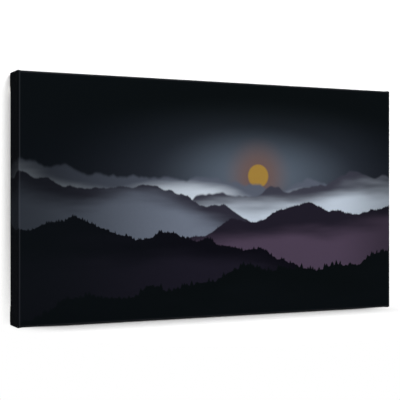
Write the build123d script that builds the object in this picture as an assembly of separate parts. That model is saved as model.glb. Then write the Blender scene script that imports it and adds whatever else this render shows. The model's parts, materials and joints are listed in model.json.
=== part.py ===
from build123d import *
import os
from math import asin, degrees, sqrt

# A picture printed on canvas and stretched over a deep, keyed pine frame, ready to hang.
# Millimetres. X runs across the picture, Y from its front to its back, Z is up.
# The origin is at the bottom centre of the whole part, where it stands on its lower edge.
# Four mitred bars interlock at the corners with tongues and slots. Two wedges, or keys,
# at each corner spread the frame and keep the cloth tight. The cloth is one piece, turned
# round all four sides, folded at the corners and stapled to the back of the bars.

# Canvas
canvas_thickness = 0.45

# Stretcher bars
picture_width = 600.0  # outside of the bars
picture_height = 340.0
bar_depth = 40.0  # front to back
bar_width = 38.0  # outer to inner edge
nose_radius = 2.0  # outer front edge, which the cloth turns over
heel_radius = 1.0  # outer back edge
lip_width = 7.0  # the only part of the front face that touches the cloth
bevel_drop = 4.0  # how far the front face has fallen back at the inner edge
inner_chamfer = 1.5  # inner back edge

# Corner joints, measured from the front of the bars
slot_start = 12.0
slot_thickness = 6.0
web_thickness = 2.0  # wood left between the two slots of a corner
tongue_clearance = 0.1  # each side of a tongue in its slot

# Keys
key_length = 42.0
key_insert = 20.0  # how deep the tip stands in its slot
key_tip = 3.0
key_butt = 11.0
key_clearance = 0.15  # each face of a key in its slot
key_corner = 1.5  # cut off each corner of the butt

# Staples through the cloth's turned-over edge
staple_inset = 11.0  # from the outer edge of the frame
staple_crown = 10.0
staple_wire = 1.2
staple_wire_thickness = 0.5
staple_leg = 8.0
staple_bend = 0.35  # the crown's ends are cut back by so much in place of a round
staples_across = 9  # on the top and on the bottom, between the corner folds
staples_upright = 5  # on each side, between the corner folds
staple_margin = 14.0  # from a corner fold to the next staple

# D-ring hangers, one on each side bar
hanger_drop = 85.0  # top of the frame to the ring's pivot
strap_width = 11.0
strap_margin = 1.5  # bare wood each side of the strap, clear of the cloth
strap_gauge = 1.0  # the strap is one strip, folded double round the ring
strap_tail = 8.0  # below the screw's centre
ring_wire_radius = 1.2
ring_wire_sides = 16  # flats round the wire, few so that its bends stay light
ring_clearance = 0.08  # between the wire and the strap's eye
ring_side_gap = 1.8  # each side of the strap, inside the ring
ring_corner_radius = 3.0
ring_side = 1.5  # straight stretch of each side of the ring
ring_rest_gap = 0.35  # between the hanging ring and the strap

# Hanger screws
screw_shank_radius = 1.6
screw_length = 16.0  # below the head
screw_point = 3.0
screw_head_radius = 3.4
screw_head_height = 2.0
screw_head_flat_radius = 1.9  # the flat top, inside the dome
screw_head_rim = 0.7  # straight side of the head
screw_head_bulge = 0.2  # how far the dome's shoulder stands out between flat and rim
screw_hole_clearance = 0.2  # in the strap
screw_pilot_clearance = 0.05  # in the wood
screw_ring_gap = 1.2  # from the ring, when it hangs, to the screw's head
recess_width = 0.9
recess_length = 3.6
recess_depth = 1.2

# Wall bumpers, on the side flaps just above the lower corner folds
bumper_radius = 6.0  # at the sticky face
bumper_tip_radius = 5.0
bumper_height = 5.5
bumper_bevel = 0.8  # round the free face
bumper_margin = 6.0  # from the corner fold to the bumper's edge

# Derived places
tucked = 2 * canvas_thickness  # an ear or a mitred flap is folded double
stack = canvas_thickness + tucked  # the outer layer over an ear
thickest = stack + tucked  # both of them over a mitred flap
ear_start = nose_radius + stack  # the folds begin behind the rounded edges
bare_strip = strap_width + 2 * strap_margin  # wood left uncovered at the inner edge, all round
flap_width = bar_width - bare_strip
overall_depth = 2 * canvas_thickness + bar_depth + bumper_height
front_y = -overall_depth / 2 + canvas_thickness  # front of the wood
back_y = front_y + bar_depth  # back of the wood
centre_z = stack + picture_height / 2  # middle of the frame, which stands on its corner folds
half_width = picture_width / 2
half_height = picture_height / 2
first_slot = slot_start
second_slot = slot_start + slot_thickness + web_thickness
key_mouth = key_tip + (key_butt - key_tip) * key_insert / key_length


def block(x0, x1, y0, y1, z0, z1):
    """A plain block between two corners."""
    return Pos((x0 + x1) / 2, (y0 + y1) / 2, (z0 + z1) / 2) * Box(x1 - x0, y1 - y0, z1 - z0)


def plate_xz(points, y0, y1):
    """A flat piece whose outline is given as (x, z) points, from y0 to y1."""
    outline = Plane.XZ * make_face(Polyline(*points, close=True))
    return Pos(0, y0, 0) * extrude(outline, amount=-(y1 - y0))


def stretcher_bar(length):
    """One bar, outer edge up, centred on X, its front at y 0. Either end fits any other bar's."""
    section = Plane.YZ * make_face(
        Polyline(
            (0, 0),
            (bar_depth, 0),
            (bar_depth, -(bar_width - inner_chamfer)),
            (bar_depth - inner_chamfer, -bar_width),
            (bevel_drop, -bar_width),
            (0, -lip_width),
            close=True,
        )
    )
    bar = Pos(-length / 2, 0, 0) * extrude(section, amount=length)
    outer_edges = bar.edges().filter_by(Axis.X).group_by(Axis.Z)[-1].sort_by(Axis.Y)
    bar = fillet(outer_edges[0], nose_radius)
    heel = bar.edges().filter_by(Axis.X).group_by(Axis.Z)[-1].sort_by(Axis.Y)[-1]
    bar = fillet(heel, heel_radius)
    ends = ((-1, first_slot, second_slot), (1, second_slot, first_slot))
    for side, tongue_y, slot_y in ends:
        end = side * length / 2
        mitre = [(end, 0), (end, -bar_width), (end - side * bar_width, -bar_width)]
        tongue_back = tongue_y + slot_thickness - tongue_clearance
        bar -= plate_xz(mitre, 0, tongue_y + tongue_clearance)
        bar -= plate_xz(mitre, tongue_back, bar_depth)
        reach = end - side * (bar_width + key_mouth)
        low, high = min(end, reach), max(end, reach)
        bar -= block(low, high, slot_y, slot_y + slot_thickness, -bar_width, 0)
    return bar


def corner_key(length, side):
    """The wedge in the slot at one end of a bar, in that bar's own place: side -1 or 1."""
    slot_y = second_slot if side < 0 else first_slot
    tongue_edge = side * (length / 2 - bar_width)
    tip_z = -(bar_width - key_insert)
    butt_z = tip_z - key_length
    outline = [
        (tongue_edge, tip_z),
        (tongue_edge - side * key_tip, tip_z),
        (tongue_edge - side * key_butt, butt_z),
        (tongue_edge, butt_z),
    ]
    key = plate_xz(outline, slot_y + key_clearance, slot_y + slot_thickness - key_clearance)
    butt_corners = key.edges().filter_by(Axis.Y).group_by(Axis.Z)[0]
    return chamfer(butt_corners, key_corner)


def wrapped_block(growth):
    """The frame's outside as a solid block, grown by so much all round, its front and back edges round."""
    solid = block(
        -half_width - growth,
        half_width + growth,
        front_y - growth,
        back_y + growth,
        centre_z - half_height - growth,
        centre_z + half_height + growth,
    )
    solid = fillet(solid.faces().sort_by(Axis.Y)[0].edges(), nose_radius + growth)
    return fillet(solid.faces().sort_by(Axis.Y)[-1].edges(), heel_radius + growth)


def ear_space(across, upward):
    """Where the tucked ear lies at one corner: widening along the edge of the frame, then down its back."""
    edge_x = across * (half_width + canvas_thickness)
    start_x = across * (half_width - ear_start)
    turn_x = across * (half_width - bar_depth)
    end_x = across * (half_width - bar_depth - flap_width)
    start_y = front_y + ear_start
    beyond_y = back_y + thickest
    edge_z = centre_z + upward * half_height
    beyond_z = edge_z + upward * stack
    cut_z = centre_z + upward * (half_height - flap_width)
    over_edge = make_face(
        Polyline((edge_x, start_y), (start_x, start_y), (turn_x, back_y), (edge_x, back_y), close=True)
    )
    over_edge = extrude(Pos(0, 0, min(edge_z, beyond_z)) * over_edge, amount=stack)
    outline = [(edge_x, beyond_z), (turn_x, beyond_z), (turn_x, edge_z), (end_x, cut_z), (edge_x, cut_z)]
    return over_edge + plate_xz(outline, back_y, beyond_y)


def flap_mitre_space(across, upward):
    """Where the end of a side flap lies folded on itself under the ear, on the back at one corner."""
    edge_x = across * (half_width + canvas_thickness)
    start_x = across * (half_width - ear_start)
    end_x = across * (half_width - flap_width)
    start_z = centre_z + upward * (half_height - ear_start)
    end_z = centre_z + upward * (half_height - flap_width)
    outline = [(edge_x, start_z), (start_x, start_z), (end_x, end_z), (edge_x, end_z)]
    return plate_xz(outline, back_y, back_y + thickest)


def canvas():
    """The cloth: one sheet over the front, round the sides and turned in on the back."""
    wrapped = wrapped_block(canvas_thickness)
    sheet = wrapped
    for across in (-1, 1):
        for upward in (-1, 1):
            over_ear = Pos(0, tucked, upward * tucked) * wrapped
            over_mitre = Pos(0, 2 * tucked, upward * tucked) * wrapped
            sheet += over_ear & ear_space(across, upward)
            sheet += over_mitre & flap_mitre_space(across, upward)
    sheet -= wrapped_block(0)
    opening_x = half_width - flap_width
    opening_z = half_height - flap_width
    low_z, high_z = centre_z - opening_z, centre_z + opening_z
    return sheet - block(-opening_x, opening_x, back_y - nose_radius, back_y + 2 * thickest, low_z, high_z)


def staple():
    """One staple, crown along X, its underside at y 0 and its legs towards the front."""
    half = staple_crown / 2
    inner = half - staple_wire_thickness
    bevel = staple_wire_thickness
    outline = [
        (-half, staple_wire_thickness),
        (half, staple_wire_thickness),
        (half, -staple_leg + bevel),
        (inner, -staple_leg),
        (inner, 0),
        (-inner, 0),
        (-inner, -staple_leg),
        (-half, -staple_leg + bevel),
    ]
    solid = extrude(make_face(Polyline(*outline, close=True)), amount=staple_wire / 2, both=True)
    bends = solid.edges().filter_by(Axis.Z).group_by(Axis.Y)[-1]
    return chamfer(bends, staple_bend)


def spread(first, last, count):
    """So many places from first to last, evenly spaced."""
    return [first + (last - first) * index / (count - 1) for index in range(count)]


def level_staples(upward):
    """The staples along the top (1) or the bottom (-1), with two through each corner fold."""
    z = centre_z + upward * (half_height - staple_inset)
    fold_end = half_width - bar_depth - flap_width
    through_square = half_width - (staple_inset + flap_width) / 2
    through_ear = half_width - (flap_width + bar_depth + staple_inset) / 2
    plain = back_y + canvas_thickness
    places = [(x, plain) for x in spread(-fold_end + staple_margin, fold_end - staple_margin, staples_across)]
    places += [(side * x, back_y + stack) for x in (through_square, through_ear) for side in (-1, 1)]
    return [Pos(x, y, z) * staple() for x, y in places]


def upright_staples(across):
    """The staples down the left (-1) or the right (1) side flap."""
    x = across * (half_width - staple_inset)
    reach = half_height - bar_depth - flap_width + staple_margin / 2
    heights = spread(centre_z - reach, centre_z + reach, staples_upright)
    return [Pos(x, back_y + canvas_thickness, z) * Rot(0, 90, 0) * staple() for z in heights]


# The hanger pieces are made with the ring's pivot over the origin and the wood's back at y 0.
eye_radius = ring_wire_radius + ring_clearance
eye_outer = eye_radius + strap_gauge
pivot_y = eye_outer
ring_half = strap_width / 2 + ring_side_gap + ring_wire_radius
ring_reach = ring_corner_radius + ring_side + ring_half + ring_wire_radius
crossing = ring_corner_radius + ring_side + sqrt(ring_half**2 - (strap_width / 2) ** 2)
lift = 2 * strap_gauge + ring_rest_gap + ring_wire_radius - pivot_y
ring_rest_angle = degrees(asin(lift / crossing))
screw_z = -(ring_reach + screw_ring_gap + screw_head_radius)
strap_end = screw_z - strap_tail


def hanger_strap():
    """A steel strip folded double, with an eye for the ring, a round end and one screw hole."""
    eye = extrude(Plane.YZ * Pos(pivot_y, 0) * Circle(eye_outer), amount=strap_width / 2, both=True)
    legs = block(-strap_width / 2, strap_width / 2, 0, 2 * strap_gauge, strap_end, 0)
    end_corners = legs.edges().filter_by(Axis.Y).group_by(Axis.Z)[0]
    legs = fillet(end_corners, strap_width / 2 - strap_gauge)
    bore = extrude(Plane.YZ * Pos(pivot_y, 0) * Circle(eye_radius), amount=strap_width, both=True)
    hole = Pos(0, 0, screw_z) * Rot(90, 0, 0) * Cylinder(
        screw_shank_radius + screw_hole_clearance, 6 * strap_gauge
    )
    return eye + legs - bore - hole


def hanger_ring():
    """A D of bent wire: a straight bar in the eye, round corners, short sides and a half circle."""
    bar_half = ring_half - ring_corner_radius
    turn_z = -(ring_corner_radius + ring_side)
    section = RegularPolygon(ring_wire_radius, ring_wire_sides)
    ring = extrude(Plane.YZ * section, amount=bar_half, both=True)
    for side in (-1, 1):
        corner_axis = Axis((side * bar_half, 0, -ring_corner_radius), (0, side, 0))
        corner_start = Pos(side * bar_half, 0, 0) * (Plane.YZ * section)
        ring += revolve(corner_start, axis=corner_axis, revolution_arc=90)
        ring += extrude(Pos(side * ring_half, 0, turn_z) * section, amount=ring_side)
    bow_start = Pos(-ring_half, 0, turn_z) * section
    ring += revolve(bow_start, axis=Axis((0, 0, turn_z), (0, -1, 0)), revolution_arc=180)
    return Pos(0, pivot_y, 0) * Rot(ring_rest_angle, 0, 0) * ring


def hanger_screw():
    """A round-headed wood screw with a cross recess, seated on the strap."""
    head_y = 2 * strap_gauge
    shank_end = head_y - screw_length + screw_point
    shoulder_radius = (screw_head_radius + screw_head_flat_radius) / 2 + screw_head_bulge
    shoulder_height = (screw_head_rim + screw_head_height) / 2 + screw_head_bulge
    profile = Polyline(
        (0, 0),
        (screw_head_radius, 0),
        (screw_head_radius, screw_head_rim),
        (shoulder_radius, shoulder_height),
        (screw_head_flat_radius, screw_head_height),
        (0, screw_head_height),
        close=True,
    )
    head = revolve(Plane.XZ * make_face(profile), axis=Axis.Z)
    for angle in (0, 90):
        slot = Box(recess_length, recess_width, 2 * recess_depth)
        head -= Pos(0, 0, screw_head_height) * Rot(0, 0, angle) * slot
    shank_length = head_y - shank_end
    shank = Pos(0, 0, -shank_length / 2) * Cylinder(screw_shank_radius, shank_length)
    point = Pos(0, 0, -shank_length - screw_point / 2) * Cone(
        0, screw_shank_radius, screw_point
    )
    screw = head + shank + point
    return Pos(0, head_y, screw_z) * Rot(-90, 0, 0) * screw


def screw_pilot():
    """The hole in the bar for the hanger's screw."""
    depth = screw_length - 2 * strap_gauge
    radius = screw_shank_radius + screw_pilot_clearance
    return Pos(0, -depth / 2, screw_z) * Rot(90, 0, 0) * Cylinder(radius, depth)


def bumper():
    """A soft stick-on foot, tapered to its bevelled free face, its sticky face at y 0."""
    foot = Cone(bumper_radius, bumper_tip_radius, bumper_height)
    foot = chamfer(foot.edges().group_by(Axis.Z)[-1], bumper_bevel)
    return Pos(0, bumper_height / 2, 0) * Rot(-90, 0, 0) * foot


hanger_z = centre_z + half_height - hanger_drop
hanger_x = half_width - bar_width + bare_strip / 2
hanger_place = {side: Pos(side * hanger_x, back_y, hanger_z) for side in (-1, 1)}
bumper_x = half_width - flap_width / 2
bumper_z = centre_z - half_height + flap_width + bumper_margin + bumper_radius

# Each bar's place, and the corner and lie of the key at each of its two ends
bar_places = {
    "top": (picture_width, Pos(0, front_y, centre_z + half_height), ("top_left_upright", "top_right_upright")),
    "right": (
        picture_height,
        Pos(half_width, front_y, centre_z) * Rot(0, 90, 0),
        ("top_right_level", "bottom_right_level"),
    ),
    "bottom": (
        picture_width,
        Pos(0, front_y, centre_z - half_height) * Rot(0, 180, 0),
        ("bottom_right_upright", "bottom_left_upright"),
    ),
    "left": (
        picture_height,
        Pos(-half_width, front_y, centre_z) * Rot(0, 270, 0),
        ("bottom_left_level", "top_left_level"),
    ),
}

parts = {"canvas": canvas()}
for name, (length, place, keys) in bar_places.items():
    parts["bar_" + name] = place * stretcher_bar(length)
    for side, key in zip((-1, 1), keys):
        parts["key_" + key] = place * corner_key(length, side)
for name, side in (("left", -1), ("right", 1)):
    parts["bar_" + name] -= hanger_place[side] * screw_pilot()
    parts["hanger_strap_" + name] = hanger_place[side] * hanger_strap()
    parts["hanger_ring_" + name] = hanger_place[side] * hanger_ring()
    parts["hanger_screw_" + name] = hanger_place[side] * hanger_screw()
    parts["bumper_" + name] = Pos(side * bumper_x, back_y + canvas_thickness, bumper_z) * bumper()
    parts["staples_" + name] = Compound(children=upright_staples(side))
parts["staples_top"] = Compound(children=level_staples(1))
parts["staples_bottom"] = Compound(children=level_staples(-1))

os.makedirs("parts", exist_ok=True)
for name, shape in parts.items():
    export_step(shape, "parts/" + name + ".step")
print("hanging ring leans out", round(ring_rest_angle, 2), "degrees")
print("pivot at x", hanger_x, "y", back_y + pivot_y, "z", hanger_z)
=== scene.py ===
import json
import math
import random
from functools import partial

import bmesh
import bpy
from mathutils import Matrix, Vector


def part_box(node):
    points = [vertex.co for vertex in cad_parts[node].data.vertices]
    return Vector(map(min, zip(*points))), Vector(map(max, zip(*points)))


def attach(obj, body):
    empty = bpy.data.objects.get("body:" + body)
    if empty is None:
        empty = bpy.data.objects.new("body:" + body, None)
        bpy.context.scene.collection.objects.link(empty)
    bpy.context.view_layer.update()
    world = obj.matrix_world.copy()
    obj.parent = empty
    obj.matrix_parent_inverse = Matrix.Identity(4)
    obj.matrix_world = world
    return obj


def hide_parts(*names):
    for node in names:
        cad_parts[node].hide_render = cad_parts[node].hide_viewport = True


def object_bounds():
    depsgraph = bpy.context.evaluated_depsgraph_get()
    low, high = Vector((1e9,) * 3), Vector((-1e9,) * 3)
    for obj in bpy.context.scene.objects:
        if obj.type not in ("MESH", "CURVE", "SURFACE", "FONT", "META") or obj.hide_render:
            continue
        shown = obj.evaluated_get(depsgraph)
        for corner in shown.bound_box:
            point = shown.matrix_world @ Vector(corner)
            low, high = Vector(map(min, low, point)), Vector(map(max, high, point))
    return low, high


# A picture printed on canvas, folded and stapled over a keyed pine frame.
# Metres, in the frame's own axes: X across, Y from the printed face to the back, Z up.

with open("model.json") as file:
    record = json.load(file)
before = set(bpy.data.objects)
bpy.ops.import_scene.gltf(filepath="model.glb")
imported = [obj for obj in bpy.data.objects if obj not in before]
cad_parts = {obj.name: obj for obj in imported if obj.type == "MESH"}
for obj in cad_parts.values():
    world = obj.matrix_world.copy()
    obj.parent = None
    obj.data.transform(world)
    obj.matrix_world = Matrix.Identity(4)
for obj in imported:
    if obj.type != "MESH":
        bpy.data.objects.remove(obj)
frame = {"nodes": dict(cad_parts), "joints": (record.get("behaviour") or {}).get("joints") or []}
nodes = frame["nodes"]
cadLow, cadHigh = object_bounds()
print("stage: frame loaded,", len(nodes), "nodes")


def linearColour(hexCode):
    # sRGB hex to the linear numbers that Blender's sockets hold
    channels = [int(hexCode[i:i + 2], 16) / 255 for i in (0, 2, 4)]
    return tuple(c / 12.92 if c <= 0.04045 else ((c + 0.055) / 1.055) ** 2.4 for c in channels) + (1.0,)


def addNode(tree, kind, inputs=None, operation=None, stops=None, **settings):
    # one node with its settings. An input is a value, a colour's hex code, an output socket, or
    # a node, which then gives the first of its outputs that is in use. Stops are a ramp's
    # places and colours
    families = ("ShaderNode", "GeometryNode", "FunctionNode", "")
    node = tree.nodes.new(next(name + kind for name in families if hasattr(bpy.types, name + kind)))
    if operation:
        node.operation = operation
    for name, value in settings.items():
        setattr(node, name, value)
    for key, value in (inputs or {}).items():
        if isinstance(value, bpy.types.Node):
            value = next(socket for socket in value.outputs if socket.enabled)
        if isinstance(value, bpy.types.NodeSocket):
            tree.links.new(value, node.inputs[key])
        elif isinstance(value, str) and node.inputs[key].type == "RGBA":
            node.inputs[key].default_value = linearColour(value)
        else:
            node.inputs[key].default_value = value
    if stops:
        ramp = node.color_ramp.elements
        ramp.remove(ramp[1])
        ramp[0].position, ramp[0].color = stops[0]
        for place, colour in stops[1:]:
            ramp.new(place).color = colour
    return node


ofColours = {"data_type": "RGBA"}  # for a Mix node
eased = {"interpolation_type": "SMOOTHSTEP"}  # for a Map Range node


def newMaterial(name, surface, *facts):
    # a material from a function that adds its nodes and gives back its shader
    material = bpy.data.materials.new(name)
    material.use_nodes = True
    material.node_tree.nodes.clear()
    add = partial(addNode, material.node_tree)
    add("OutputMaterial", {0: surface(add, *facts)})
    return material


def linked(name, data):
    # a new object in the scene
    made = bpy.data.objects.new(name, data)
    bpy.context.scene.collection.objects.link(made)
    return made


def meshOf(name, built):
    # a mesh from what bmesh has built
    mesh = bpy.data.meshes.new(name)
    built.to_mesh(mesh)
    built.free()
    return mesh


creaseAngle = 30  # degrees, past which an edge is sharp
sameSpot = 1e-6  # points closer than this are one


def plainMesh(source, sharpAngle=creaseAngle):
    # the evaluated object as a plain mesh, smooth but for edges sharper than the angle
    bpy.context.view_layer.update()
    evaluated = source.evaluated_get(bpy.context.evaluated_depsgraph_get())
    mesh = bpy.data.meshes.new_from_object(evaluated)
    bpy.data.objects.remove(source)
    mesh.shade_smooth()
    mesh.set_sharp_from_angle(angle=math.radians(sharpAngle))
    return mesh


def turnedMesh(name, profile, steps):
    # a profile of radius and height, from axis to axis, turned round Y as on a lathe
    built = bmesh.new()
    turns = [2 * math.pi * step / steps for step in range(steps)]
    rings = []
    for radius, height in profile:
        if radius:
            places = [(radius * math.cos(turn), height, -radius * math.sin(turn)) for turn in turns]
            rings.append([built.verts.new(place) for place in places])
        else:
            rings.append([built.verts.new((0, height, 0))] * steps)
    for lower, upper in zip(rings, rings[1:]):
        for k in range(steps):  # a face at the axis has three corners
            built.faces.new(list(dict.fromkeys((lower[k - 1], lower[k], upper[k], upper[k - 1]))))
    bmesh.ops.recalc_face_normals(built, faces=built.faces)
    return meshOf(name, built)


def newPiece(name, mesh, material, body, slot, *replaced):
    # links a finished mesh, and says what it rides on and stands for
    piece = linked(name, mesh)
    if material:
        mesh.materials.clear()
        mesh.materials.append(material)
    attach(piece, body)
    if replaced:
        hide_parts(*replaced)
    return piece


def newGeometryTree(name, values):
    # an empty tree with an input for each value: the tree, what adds nodes to it, its inputs'
    # sockets, and the inputs' identifiers for a modifier
    kinds = {float: "NodeSocketFloat", int: "NodeSocketInt", bpy.types.Material: "NodeSocketMaterial"}
    tree = bpy.data.node_groups.new(name, "GeometryNodeTree")
    tree.interface.new_socket(name="Geometry", in_out="INPUT", socket_type="NodeSocketGeometry")
    keys = {}
    for label, value in values.items():
        made = tree.interface.new_socket(name=label, in_out="INPUT", socket_type=kinds[type(value)])
        keys[label] = made.identifier
    tree.interface.new_socket(name="Geometry", in_out="OUTPUT", socket_type="NodeSocketGeometry")
    add = partial(addNode, tree)
    return tree, add, add("NodeGroupInput").outputs, keys


def endTree(add, given, made, rotation, material, scale=(1, 1, 1)):
    # the last nodes of a tree: one on each point, made real, with its material
    placed = add("InstanceOnPoints", {
        "Points": given["Geometry"], "Instance": made, "Rotation": rotation, "Scale": scale})
    real = add("RealizeInstances", {0: placed})
    finished = add("SetMaterial", {"Geometry": real, "Material": material})
    add("NodeGroupOutput", {0: finished})


def treeOnPlaces(places, headings, tree, keys, values):
    # what a tree makes on each place, as a plain mesh
    points = bpy.data.meshes.new("places")
    points.from_pydata(places, [], [])
    if headings:
        points.attributes.new("inward", "FLOAT", "POINT").data.foreach_set("value", headings)
    source = linked("source", points)
    modifier = source.modifiers.new("tree", "NODES")
    modifier.node_group = tree
    for label, value in values.items():
        modifier[keys[label]] = value
    return plainMesh(source)


# Camera, level and to the left of the picture
cameraPlace = {
    "position": (-0.664, -1.320, 0.170),
    "turn": 25.92,  # degrees to the right of straight on
    "lens": 90.3,  # mm, like the sensor
    "sensor": 36,
}
cameraData = bpy.data.cameras.new("camera")
cameraData.sensor_width, cameraData.lens = cameraPlace["sensor"], cameraPlace["lens"]
cameraData.clip_start, cameraData.clip_end = 0.01, 100
camera = linked("camera", cameraData)
camera.location = cameraPlace["position"]
camera.rotation_euler = (math.pi / 2, 0, -math.radians(cameraPlace["turn"]))
bpy.context.scene.camera = camera

# Sizes read from the frame
barNames = ("bar_top", "bar_bottom", "bar_left", "bar_right")
frameLow = Vector([min(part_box(name)[0][i] for name in barNames) for i in range(3)])
frameHigh = Vector([max(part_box(name)[1][i] for name in barNames) for i in range(3)])
centreZ = (frameLow.z + frameHigh.z) / 2
halfWidth = (frameHigh.x - frameLow.x) / 2
halfHeight = (frameHigh.z - frameLow.z) / 2
frontY, backY = frameLow.y, frameHigh.y
barDepth = backY - frontY
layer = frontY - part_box("canvas")[0].y  # one thickness of cloth


# Canvas: one sheet cut to a rectangle, then every point of it is folded round the bars
cloth = {
    "nose": 0.002,  # radius it turns over in front
    "heel": 0.001,  # and at the back
    "flap": 0.024,  # turned in on the back
    "ply": 0.00040,  # woven thickness, a little under a layer so that the layers don't touch
    "ramp": 0.0025,  # how soon the top layer drops from a fold to the wood
    "cell": 0.0023,  # grid near the edges
    "coarse": 0.0065,  # grid elsewhere
    "steps": (6, 16, 4),  # over the front's rounded edge, down the side and over the back's edge
    "edgeWander": 0.0005,  # the cut edge isn't quite straight
    "uprightWaves": (61, 143),  # radians per metre along it
    "levelWaves": (57, 131),
    "cornerClear": 0.03,  # straight at the corner folds
    "sharpest": 40,  # degrees, past which an edge shows as a crease
}
nose, heel, flap = cloth["nose"], cloth["heel"], cloth["flap"]
noseArc = math.pi / 2 * (nose + layer / 2)
heelArc = math.pi / 2 * (heel + layer / 2)
sideFlat = barDepth - nose - heel
heelEnd = sideFlat + heelArc
clothEdge = heelEnd + flap - heel
flatHalfWidth = halfWidth - nose + noseArc  # to the end of the front's rounded edge
flatHalfHeight = halfHeight - nose + noseArc


def smooth(value):
    value = min(1.0, max(0.0, value))
    return value * value * (3 - 2 * value)


def bend(along, lift):
    # round the edge of a bar: how far out from its side and how deep from its front, for a
    # distance along the cloth past the front's rounded edge and a height above the wood
    if along <= -noseArc:
        return along + noseArc - nose, -lift
    if along < 0:
        angle = (along / noseArc + 1) * math.pi / 2
        return (nose + lift) * math.sin(angle) - nose, nose - (nose + lift) * math.cos(angle)
    if along <= sideFlat:
        return lift, nose + along
    if along < heelEnd:
        angle = (along - sideFlat) / heelArc * math.pi / 2
        return (heel + lift) * math.cos(angle) - heel, barDepth - heel + (heel + lift) * math.sin(angle)
    return heelEnd - along - heel, barDepth + lift


def reach(along):
    # the other coordinate, past an edge that the cloth doesn't turn over there
    if along <= -noseArc:
        return along + noseArc - nose
    return (along + noseArc) / noseArc * (nose + layer / 2) - nose


def foldedCorner(a, b):
    # one quarter of the cloth: a is past the side edge, b past the level edge, both along the
    # cloth. Gives how far out from the side bar, out from the level bar, and deep from the front.
    # Lifts are counted in layers, to the middle of the cloth
    if a <= 0 and b <= 0:  # the front and its rounded edges, which meet in a mitre
        further = max(a, b)
        out, deep = bend(further, layer / 2)
        nearer = min(a, b)
        other = reach(nearer)
        if nearer > -noseArc:
            other = (nearer + noseArc) / (further + noseArc) * (out + nose) - nose
        return (out, other, deep) if a > b else (other, out, deep)
    if b <= 0:  # the side panel, then the side flap with its end folded on itself
        out, deep = bend(a, layer / 2)
        up = reach(b)
        if a >= heelEnd and -up < -out:
            lift = 2.0 if b == 0 else 1.5
            return -max(-up, -layer / 2), out, barDepth + lift * layer
        if a >= heelEnd and abs(up - out) < sameSpot:
            return out, up, barDepth + layer
        return out, up, deep
    along, inward = (b, -reach(a)) if a <= 0 else (max(a, b), min(a, b) - layer / 2)
    down = -bend(along, 0)[0] if along > heelEnd else -1
    under = 2 * smooth(1 - (inward - down) / cloth["ramp"]) if down > 0 else 0
    if a <= 0:  # the level panel and flap, over the tucked ear
        ear = smooth(1 - (inward - b) / cloth["ramp"])
        lift = 0.5 + under + (1.5 if a == 0 else 2.0) * ear
        out, deep = bend(b, lift * layer)
        return reach(a), out, deep
    lift = under + (1.0 if a == b else 0.5 if a > b else 1.5)
    out, deep = bend(along, lift * layer)
    return -inward, out, deep


def evenly(start, run, steps):
    # the ends of equal steps along a run
    return [start + run * (i + 1) / steps for i in range(steps)]


def clothStations(half):
    # where the grid's lines lie, from the middle outwards, along the cloth past the front's edge
    cell = cloth["cell"]
    fromEdge = []
    place = heel + cell
    while place < barDepth + flap + 3 * cell:
        fromEdge.append(place)
        place += cell
    run = half - fromEdge[-1]
    fromEdge += evenly(fromEdge[-1], run, round(run / cloth["coarse"]))
    noseSteps, sideSteps, heelSteps = cloth["steps"]
    stations = [nose - noseArc - place for place in reversed(fromEdge)]
    stations += [noseArc * (i / noseSteps - 1) for i in range(noseSteps + 1)]
    stations += evenly(0.0, sideFlat, sideSteps) + evenly(sideFlat, heelArc, heelSteps)
    return stations + evenly(heelEnd, clothEdge - heelEnd, round((flap - heel) / cell))


def gridLines(half, flat):
    # each line's side of the middle, its place past the front's edge, and its place on the flat cloth
    stations = clothStations(half)
    return [(-1, s, -(s + flat)) for s in reversed(stations[1:])] + [(1, s, s + flat) for s in stations]


def waver(along, waves, phases):
    # two waves of the cut edge
    return sum(math.sin(along * wave + phase) for wave, phase in zip(waves, phases)) / 2


def makeCanvas(printed, raw):
    # the grid of the flat cloth, folded point by point, with the flat place kept as its UV map
    columns, rows = gridLines(halfWidth, flatHalfWidth), gridLines(halfHeight, flatHalfHeight)
    built = bmesh.new()
    random.seed(4)
    phases = [random.uniform(0, 6.28) for _ in range(8)]
    grid = []
    for sideZ, b, v in rows:
        grid.append([])
        for sideX, a, u in columns:
            outX, outZ, deep = foldedCorner(a, b)
            wander = cloth["edgeWander"] * smooth((max(a, b) - clothEdge) / flap + 1)
            if a > heelEnd and b < -cloth["cornerClear"]:
                outX += wander * waver(v, cloth["uprightWaves"], phases[sideX + 1:])
            if b > heelEnd and a < -cloth["cornerClear"]:
                outZ += wander * waver(u, cloth["levelWaves"], phases[sideZ + 4:])
            x, z = sideX * (halfWidth + outX), centreZ + sideZ * (halfHeight + outZ)
            grid[-1].append(built.verts.new((x, frontY + deep, z)))
    flatMap = built.loops.layers.uv.new("cloth")
    for j in range(len(rows) - 1):
        for i in range(len(columns) - 1):
            ring = [(i, j), (i + 1, j), (i + 1, j + 1), (i, j + 1)]
            corners = [grid[q][p] for p, q in ring]
            rising = (corners[0].co - corners[2].co).length
            falling = (corners[1].co - corners[3].co).length
            if max(rising, falling) < 1.2 * min(rising, falling):
                parts = [(0, 1, 2, 3)]
            else:  # on a fold, the longer diagonal is the crease
                parts = [(0, 1, 2), (0, 2, 3)] if rising > falling else [(0, 1, 3), (1, 2, 3)]
            for part in parts:
                face = built.faces.new([corners[k] for k in part])
                for loop, k in zip(face.loops, part):
                    loop[flatMap].uv = (columns[ring[k][0]][2], rows[ring[k][1]][2])
    mesh = meshOf("canvas", built)
    mesh.materials.append(printed)
    mesh.materials.append(raw)
    sheet = linked("canvasSheet", mesh)
    solidify = sheet.modifiers.new("ply", "SOLIDIFY")
    solidify.thickness, solidify.offset = cloth["ply"], 0
    solidify.material_offset = solidify.material_offset_rim = 1
    finished = plainMesh(sheet, cloth["sharpest"])
    return newPiece("foldedCanvas", finished, None, "panel", "printed_canvas", "canvas")


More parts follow.
